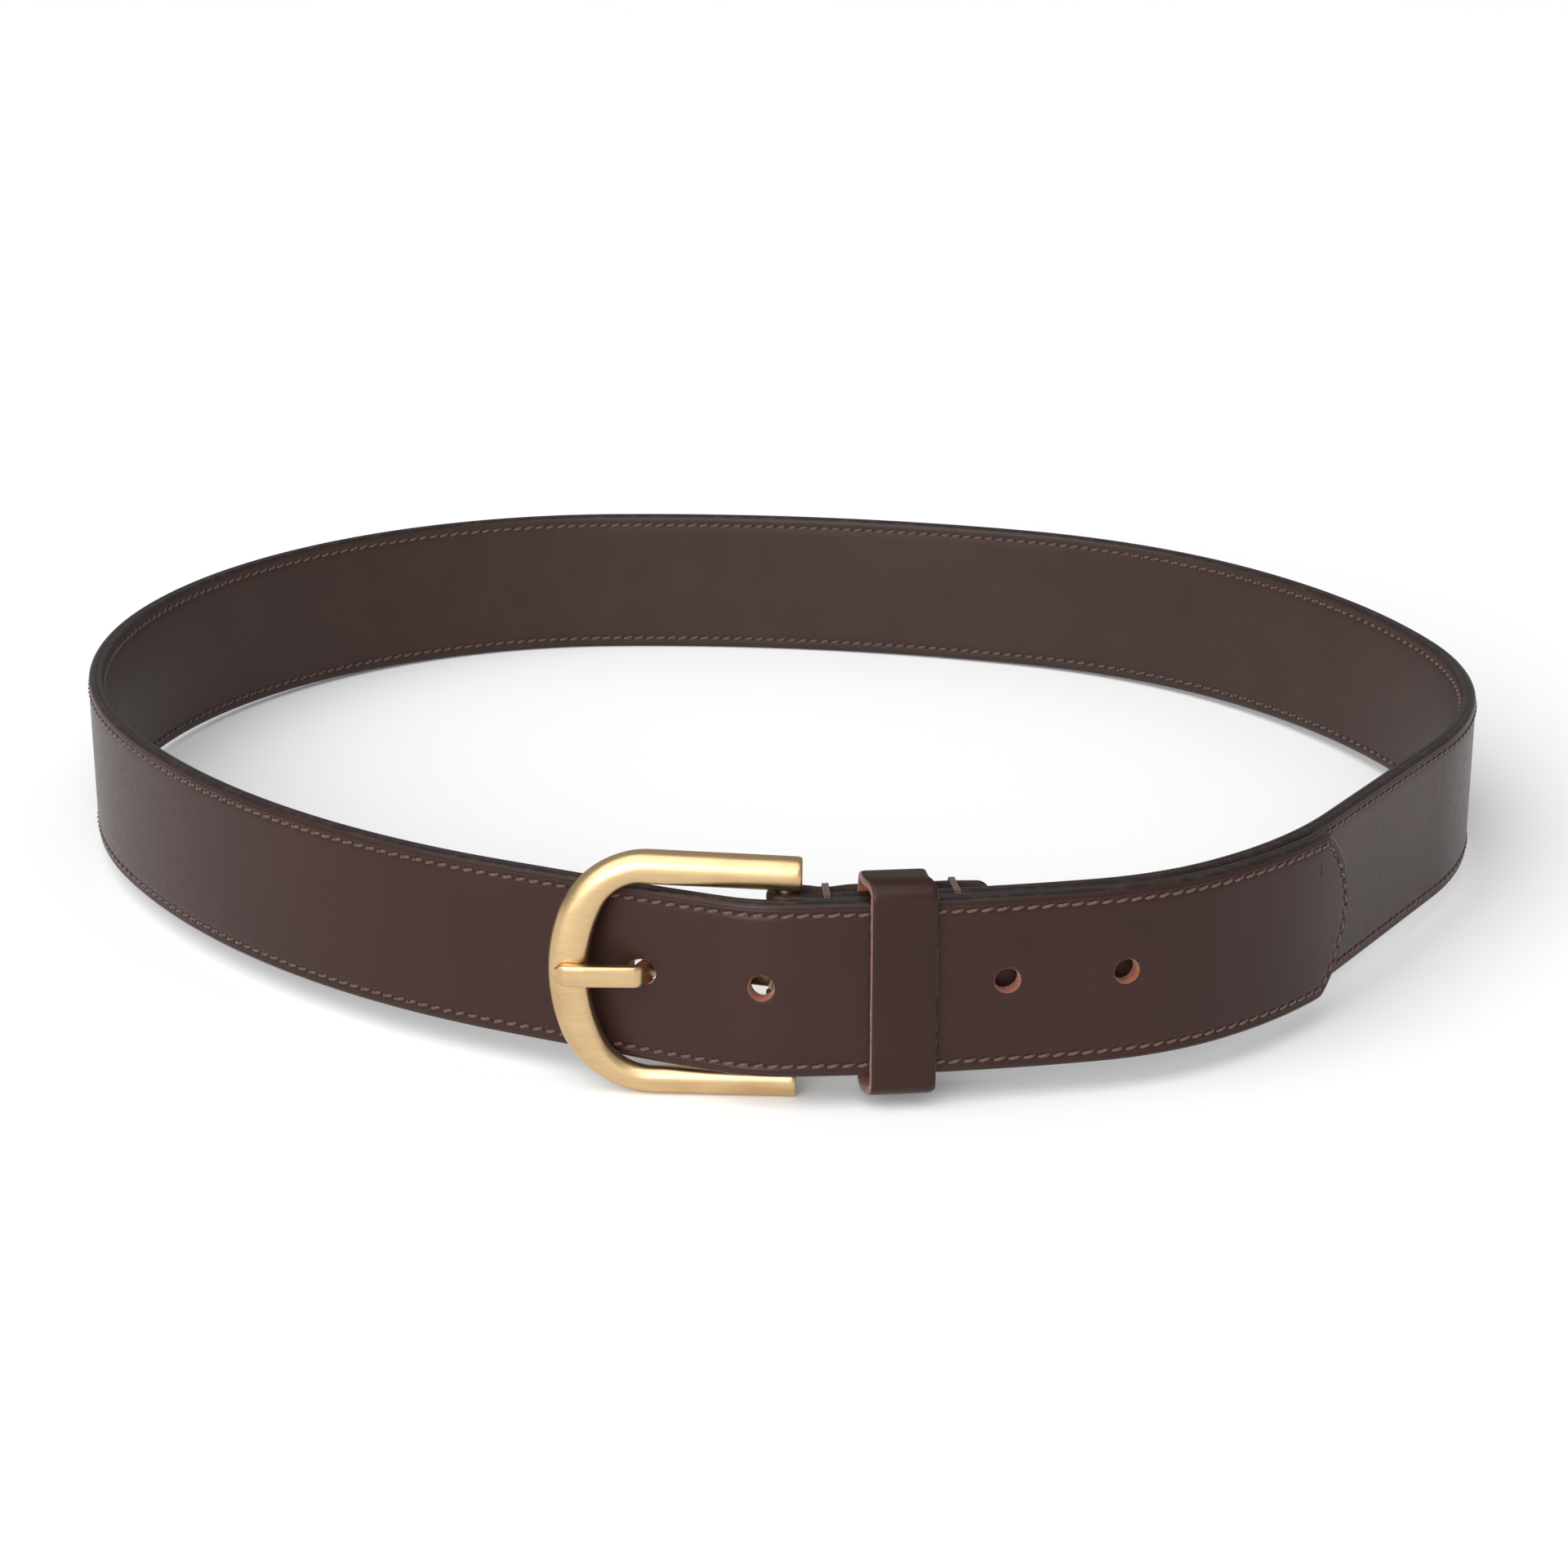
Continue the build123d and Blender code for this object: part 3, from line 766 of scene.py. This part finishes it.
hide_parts("strap_outer_ring", "strap_fold", "strap_outer_billet")
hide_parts("strap_lining_ring", "strap_lining_billet")
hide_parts("edge_stitch_needle")
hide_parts("edge_stitch_bobbin")
for piece in (outerPly, innerPly, needleThread, bobbinThread):
    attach(piece, "strap")

tack = {
    "turns": (-0.42, 0.02, 0.46), "threadRadius": 0.25, "reach": 2.0, "bend": 0.55,
    # place along the front, and how deep the flap's outer side lies there
    "buckleSide": (8.0, 6.7), "tailSide": (34.4, 7.65),
}


def tackStitch(name, node, place, back):
    # three turns of thread over the top edge and three under the bottom edge
    book = bmesh.new()
    out = tack["threadRadius"] - 0.04
    for upper in (1, -1):
        for turn in tack["turns"]:
            slip = dice.uniform(-0.12, 0.12)
            top = halfWidth + out
            bend = tack["bend"]
            low = halfWidth - tack["reach"]
            route = [(0.35, low - 0.2), (-out, low + 0.2), (-out, top - bend)]
            for k in range(1, 5):
                angle = math.pi / 2 * k / 5
                route.append((-out + bend * (1 - math.cos(angle)), top - bend * (1 - math.sin(angle))))
            route += [(bend, top), (back * 0.5, top - 0.1), (back - bend, top)]
            for k in range(1, 5):
                angle = math.pi / 2 * k / 5
                route.append((
                    back + out - bend * (1 - math.sin(angle)), top - bend * (1 - math.cos(angle))))
            route += [(back + out, top - bend), (back + out, low + 0.2), (back - 0.35, low - 0.2)]
            points = []
            for step, (depth, height) in enumerate(route):
                shift = turn + slip * step / len(route)
                points.append(strapPoint(place + shift, upper * height, depth))
            addTube(book, points, [tack["threadRadius"]] * len(points), 9, 0)
    bmesh.ops.recalc_face_normals(book, faces=book.faces)
    piece = bookToPiece(book, name, [sewingThread])
    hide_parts(node)
    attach(piece, "strap")


tackStitch("tack_thread_buckle_side", "tack_stitch_buckle_side", *tack["buckleSide"])
tackStitch("tack_thread_tail_side", "tack_stitch_tail_side", *tack["tailSide"])
print("flap tacked")

keeper = {
    "place": 23.0, "height": 47.0, "front": -6.0, "rear": 5.72, "corner": 4.0,
    "buttGap": 0.3, "fray": 0.05,
    "drag": 1.5,  # the front has been pulled along the strap, so the back lies this far behind
}
# (across the strip, depth below its grain side, material band)
keeperSection = [
    (-5.4, 0.0, 0), (0.0, 0.0, 0), (5.4, 0.0, 0), (6.1, 0.05, 0), (6.45, 0.18, 0), (6.66, 0.42, 1),
    (6.75, 0.8, 1), (6.73, 1.25, 1), (6.6, 1.6, 2), (6.25, 1.7, 2), (0.0, 1.7, 2), (-6.25, 1.7, 1),
    (-6.6, 1.6, 1), (-6.73, 1.25, 1), (-6.75, 0.8, 1), (-6.66, 0.42, 1), (-6.45, 0.18, 0),
    (-6.1, 0.05, 0),
]


def keeperPath():
    # the strip's outer line from its butt joint up, over the front and back: (depth, height, outward)
    front, rear, corner = keeper["front"], keeper["rear"], keeper["corner"]
    top = keeper["height"] / 2
    path = []
    corners = [
        (rear - corner, top - corner, 0.0), (front + corner, top - corner, 90.0),
        (front + corner, corner - top, 180.0), (rear - corner, corner - top, 270.0),
    ]
    last = (rear, keeper["buttGap"] / 2)
    for centreDepth, centreHeight, first in corners:
        arc = []
        for k in range(11):
            angle = math.radians(first + 9.0 * k)
            arc.append((
                centreDepth + corner * math.cos(angle), centreHeight + corner * math.sin(angle), angle))
        path += straightPath(last, arc[0])
        path += arc
        last = (arc[-1][0], arc[-1][1])
    path += straightPath(last, (rear, -keeper["buttGap"] / 2, math.radians(360.0)))
    path.append((rear, -keeper["buttGap"] / 2, math.radians(360.0)))
    return path


def straightPath(first, last):
    steps = max(2, round(math.hypot(last[0] - first[0], last[1] - first[1]) / 1.2))
    return [(
        first[0] + (last[0] - first[0]) * k / steps,
        first[1] + (last[1] - first[1]) * k / steps, last[2],
    ) for k in range(0 if first[1] == keeper["buttGap"] / 2 else 1, steps)]


def makeKeeper():
    grid = []
    x, y, heading = onRuns(keeper["place"])
    middle = Vector((x, y, midHeight))
    along = Vector((math.cos(heading), math.sin(heading), 0.0))
    inward = Vector((-math.sin(heading), math.cos(heading), 0.0))
    up = Vector((0.0, 0.0, 1.0))
    for depth, height, angle in keeperPath():
        station = []
        share = min(1.0, (depth - keeper["front"]) / (1.5 * keeper["corner"]))
        dragged = keeper["drag"] * share * share * (3 - 2 * share)
        for across, below, band in keeperSection:
            rough = keeper["fray"] if band == 1 else 0.0
            wide = across - dragged + dice.uniform(-rough, rough)
            deep = below + dice.uniform(-rough, rough)
            point = middle + along * wide + inward * (depth - deep * math.cos(angle))
            station.append(point + up * (height - deep * math.sin(angle)))
        grid.append(station)
    bands = [row[2] for row in keeperSection]
    piece = finishMesh("keeper_leather", grid, bands, [keeperGrain, cutLeather, bareLeather], 40)
    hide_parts("keeper_loop")
    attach(piece, "keeper")


makeKeeper()
print("keeper made")

buckle = {
    "tilt": 3.5, "forward": 1.2, "halfHeight": 26.65, "reach": 48.5, "barWidth": 8.3,
    "upperArm": 6.8, "lowerArm": 6.1, "outerBow": (38.0, 20.0), "innerBow": (34.0, 25.0),
    "upperEnd": 3.3, "lowerEnd": 2.1, "upperDroop": 1.1,  # the upper arm's end hangs this much
    "barRadius": 2.0, "barLetIn": 2.5,
}
# the bar's section: (inset from its outer or inner line, height in front of the middle plane)
outerSide = [
    (1.4, -2.0), (0.6, -1.97), (0.18, -1.75), (0.02, -1.3), (0.0, -0.7), (0.12, 0.1), (0.5, 0.85),
    (1.05, 1.45), (1.7, 1.88), (2.5, 2.14),
]
innerSide = [
    (2.0, 2.2), (1.2, 2.02), (0.6, 1.7), (0.2, 1.2), (0.02, 0.5), (0.02, -0.4), (0.35, -1.3),
    (0.95, -1.8),
    (1.8, -2.0),
]


def buckleLine(reach, halfHeight, bow, end):
    # one half of a U outline in the frame's plane, from the middle of the front bar to an arm's end
    radius, swing = bow[0], math.radians(bow[1])
    corner = (halfHeight - radius * math.sin(swing)) / (1 - math.sin(swing))
    centre = (radius - reach - (radius - corner) * math.cos(swing), (radius - corner) * math.sin(swing))
    line = []
    for k in range(14):
        angle = swing * k / 14
        line.append((radius - reach - radius * math.cos(angle), radius * math.sin(angle)))
    for k in range(24):
        angle = swing + (math.pi / 2 - swing) * k / 24
        line.append((centre[0] - corner * math.cos(angle), centre[1] + corner * math.sin(angle)))
    for k in range(19):
        line.append((centre[0] + (end - centre[0]) * k / 18, halfHeight))
    return line


def framePoint(x, up, forward):
    tilt = math.radians(buckle["tilt"])
    ahead = buckle["forward"] + forward
    return Vector((
        barCentre[0] + x * math.cos(tilt) - ahead * math.sin(tilt),
        barCentre[1] - x * math.sin(tilt) - ahead * math.cos(tilt), buckle["halfHeight"] + up))


def makeBuckle():
    stations = []
    for side, arm, end in (
        (-1, buckle["lowerArm"], buckle["lowerEnd"]), (1, buckle["upperArm"], buckle["upperEnd"]),
    ):
        outer = buckleLine(buckle["reach"], buckle["halfHeight"], buckle["outerBow"], end)
        inner = buckleLine(
            buckle["reach"] - buckle["barWidth"], buckle["halfHeight"] - arm, buckle["innerBow"], end)
        half = []
        for number, ((ox, oy), (ix, iy)) in enumerate(zip(outer, inner)):
            droop = buckle["upperDroop"] * max(0.0, number - 34) / 22 if side > 0 else 0.0
            half.append(((ox, side * oy - droop), (ix, side * iy - droop), 1.0))
        # the arm's end is rounded over with a file
        (ox, oy), (ix, iy), _ = half.pop()
        for back, shrink in ((0.9, 1.0), (0.45, 0.985), (0.15, 0.94), (0.0, 0.87)):
            half.append(((ox - back, oy), (ix - back, iy), shrink))
        stations = half[::-1] if side < 0 else stations[:-1] + half
    grid = []
    for (ox, oy), (ix, iy), shrink in stations:
        wide = math.hypot(ox - ix, oy - iy)
        toX, toY = (ox - ix) / wide, (oy - iy) / wide
        ring = [(wide / 2 - inset, ahead) for inset, ahead in outerSide] + [(0.0, 2.3)]
        ring += [(inset - wide / 2, ahead) for inset, ahead in innerSide]
        middle = ((ox + ix) / 2, (oy + iy) / 2)
        station = []
        for across, ahead in ring:
            x, up = middle[0] + toX * across * shrink, middle[1] + toY * across * shrink
            station.append(framePoint(x, up, ahead * shrink))
        grid.append(station)
    book = bmesh.new()
    made = [[book.verts.new(point * metre) for point in station] for station in grid]
    for near, far in zip(made, made[1:]):
        for j in range(len(near)):
            k = (j + 1) % len(near)
            book.faces.new((near[j], far[j], far[k], near[k]))
    book.faces.new(made[0][::-1])
    book.faces.new(made[-1])
    low = buckle["lowerArm"] - buckle["barLetIn"]
    high = 2 * buckle["halfHeight"] - buckle["upperArm"] + buckle["barLetIn"]
    heel = []
    for share in (0.0, 0.33, 0.67, 1.0):
        heel.append(Vector((barCentre[0], barCentre[1], low + (high - low) * share)))
    addTube(book, heel, [buckle["barRadius"]] * 4, 40, 0)
    bmesh.ops.recalc_face_normals(book, faces=book.faces)
    piece = bookToPiece(book, "buckle_frame_brass", [satinGold], 50)
    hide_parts("buckle_frame")
    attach(piece, "frame")


tongue = {
    "width": 4.6, "thickness": 2.2, "tilt": 1.5, "eyeInner": 2.06, "eyeOuter": 3.7, "bend": 1.6,
    # its middle line in plan from the heel bar's centre
    "line": [(-2.2, 0.5), (-26.5, 6.1), (-30.1, -1.7), (-41.0, -2.05), (-46.9, -1.75)],
}


def tonguePoint(x, y, height):
    # the tongue's tip lies a little higher than its eye
    tilt = math.radians(tongue["tilt"])
    return Vector((
        barCentre[0] + x * math.cos(tilt) + height * math.sin(tilt), barCentre[1] + y,
        midHeight - x * math.sin(tilt) + height * math.cos(tilt)))


def tongueLine():
    # the middle line with each corner rounded: (x, y)
    points = [Vector(point) for point in tongue["line"]]
    line = [points[0].lerp(points[1], k / 8) for k in range(8)]
    for before, corner, after in zip(points, points[1:], points[2:]):
        back = (before - corner).normalized()
        onward = (after - corner).normalized()
        turn = math.pi - back.angle(onward)
        cut = tongue["bend"] * math.tan(turn / 2)
        centre = corner + (back + onward).normalized() * (tongue["bend"] / math.cos(turn / 2))
        first = corner + back * cut - centre
        last = corner + onward * cut - centre
        steps = max(2, round(math.degrees(turn) / 9))
        for k in range(steps + 1):
            share = k / steps
            blend = first * math.sin((1 - share) * turn) + last * math.sin(share * turn)
            line.append(centre + blend / math.sin(turn))
        line += [line[-1].lerp(corner.lerp(after, 0.97), k / 6) for k in range(1, 6)]
    line.append(points[-1])
    return line


def makeTongue():
    line = tongueLine()
    halfHigh = tongue["width"] / 2
    halfThick = tongue["thickness"] / 2
    # (height, towards the front): a soft crowned bar with a flat back
    ring = []
    for k in range(28):
        angle = 2 * math.pi * k / 28
        power = 0.42 if math.sin(angle) > 0 else 0.3
        ring.append((
            halfHigh * math.copysign(abs(math.cos(angle)) ** 0.45, math.cos(angle)),
            halfThick * math.copysign(abs(math.sin(angle)) ** power, math.sin(angle))))
    book = bmesh.new()
    made = []
    for i, point in enumerate(line):
        way = (line[min(i + 1, len(line) - 1)] - line[max(i - 1, 0)]).normalized()
        square = Vector((-way.y, way.x))  # towards the front, because the line runs to the left
        left = (line[-1] - point).length
        narrow = 1.0 - 0.42 * max(0.0, 1 - left / 1.6) ** 1.3
        flat = 1.0 - 0.45 * max(0.0, 1 - left / 2.4) ** 1.5
        station = []
        for height, ahead in ring:
            shift = (ahead * flat - (1 - flat) * halfThick) if ahead > 0 else ahead
            spot = point + square * shift
            station.append(book.verts.new(tonguePoint(spot.x, spot.y, height * narrow) * metre))
        made.append(station)
    for near, far in zip(made, made[1:]):
        for j in range(len(near)):
            k = (j + 1) % len(near)
            book.faces.new((near[j], far[j], far[k], near[k]))
    book.faces.new(made[0][::-1])
    book.faces.new(made[-1])
    # the eye: a closed band round the heel bar
    inner, outer = tongue["eyeInner"], tongue["eyeOuter"]
    band = [
        (inner, -halfHigh + 0.2), (inner + 0.2, -halfHigh), (outer - 0.5, -halfHigh),
        (outer - 0.12, -halfHigh + 0.15), (outer, -halfHigh + 0.6), (outer, halfHigh - 0.6),
        (outer - 0.12, halfHigh - 0.15), (outer - 0.5, halfHigh), (inner + 0.2, halfHigh),
        (inner, halfHigh - 0.2),
    ]
    turns = 48
    eye = []
    for k in range(turns):
        angle = 2 * math.pi * k / turns
        eye.append([
            book.verts.new(tonguePoint(out * math.cos(angle), out * math.sin(angle), height) * metre)
            for out, height in band
        ])
    for k in range(turns):
        near, far = eye[k], eye[(k + 1) % turns]
        for j in range(len(band)):
            n = (j + 1) % len(band)
            book.faces.new((near[j], far[j], far[n], near[n]))
    bmesh.ops.recalc_face_normals(book, faces=book.faces)
    piece = bookToPiece(book, "buckle_tongue_brass", [satinGold], 40)
    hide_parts("buckle_tongue")
    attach(piece, "tongue")


makeBuckle()
makeTongue()
staple = frame["nodes"]["keeper_staple"]
staple.data.materials.clear()
staple.data.materials.append(wireSteel)
print("buckle made")

studio = {
    "floorSize": 6.0, "floorGap": 0.0001, "skyStrength": 0.42,
    "sun": {"from": (-0.5, -0.8, 1.0), "strength": 2.75, "softness": 80.0},
    "front": {"at": (-0.45, -1.3, 0.30), "aim": (0, -0.1, 0.02), "size": 0.6, "power": 7.0},
}


def hangLamp(name, kind, energy):
    lamp = bpy.data.lights.new(name, kind)
    lamp.energy = energy
    holder = bpy.data.objects.new(name, lamp)
    bpy.context.scene.collection.objects.link(holder)
    return lamp, holder


def makeStudio():
    # the belt rests on the buckle in front and on the strap's edge behind, so the floor rises to meet it
    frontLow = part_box("buckle_frame")[0]
    strapLow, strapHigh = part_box("strap_outer_ring")
    rise = math.atan2(strapLow.z - frontLow.z, strapHigh.y - frontLow.y)
    book = bmesh.new()
    half = studio["floorSize"] / 2
    corners = ((-half, -half, 0), (half, -half, 0), (half, half, 0), (-half, half, 0))
    book.faces.new([book.verts.new(corner) for corner in corners])
    mesh = bpy.data.meshes.new("floor")
    book.to_mesh(mesh)
    book.free()
    mesh.materials.append(paleFloor())
    floor = bpy.data.objects.new("floor", mesh)
    bpy.context.scene.collection.objects.link(floor)
    hinge = Matrix.Translation((0, frontLow.y, frontLow.z))
    sunk = Matrix.Translation((0, 0, -studio["floorGap"]))
    floor.matrix_world = hinge @ Matrix.Rotation(rise, 4, "X") @ sunk
    sky = bpy.data.worlds.new("softRoom")
    sky.use_nodes = True
    background = sky.node_tree.nodes["Background"]
    background.inputs["Color"].default_value = (1.0, 1.0, 1.0, 1.0)
    background.inputs["Strength"].default_value = studio["skyStrength"]
    bpy.context.scene.world = sky
    lamp, holder = hangLamp("windowLight", "SUN", studio["sun"]["strength"])
    lamp.angle = math.radians(studio["sun"]["softness"])
    holder.rotation_euler = (-Vector(studio["sun"]["from"])).to_track_quat("-Z", "Y").to_euler()
    lamp, holder = hangLamp("frontSoftbox", "AREA", studio["front"]["power"])
    lamp.size = studio["front"]["size"]
    holder.location = studio["front"]["at"]
    aim = Vector(studio["front"]["aim"]) - holder.location
    holder.rotation_euler = aim.to_track_quat("-Z", "Y").to_euler()


view = {"at": (0.00211, -0.77941, 0.29856), "pitchDown": 19.82, "lens": 78.75, "sensor": 36.0}


def makeCamera():
    eye = bpy.data.cameras.new("viewer")
    eye.lens = view["lens"]
    eye.sensor_width = view["sensor"]
    eye.clip_start = 0.01
    holder = bpy.data.objects.new("viewer", eye)
    bpy.context.scene.collection.objects.link(holder)
    holder.location = view["at"]
    holder.rotation_euler = (math.radians(90 - view["pitchDown"]), 0.0, 0.0)
    bpy.context.scene.camera = holder


makeStudio()
makeCamera()
bpy.context.scene.view_settings.view_transform = "Standard"
print("studio set")
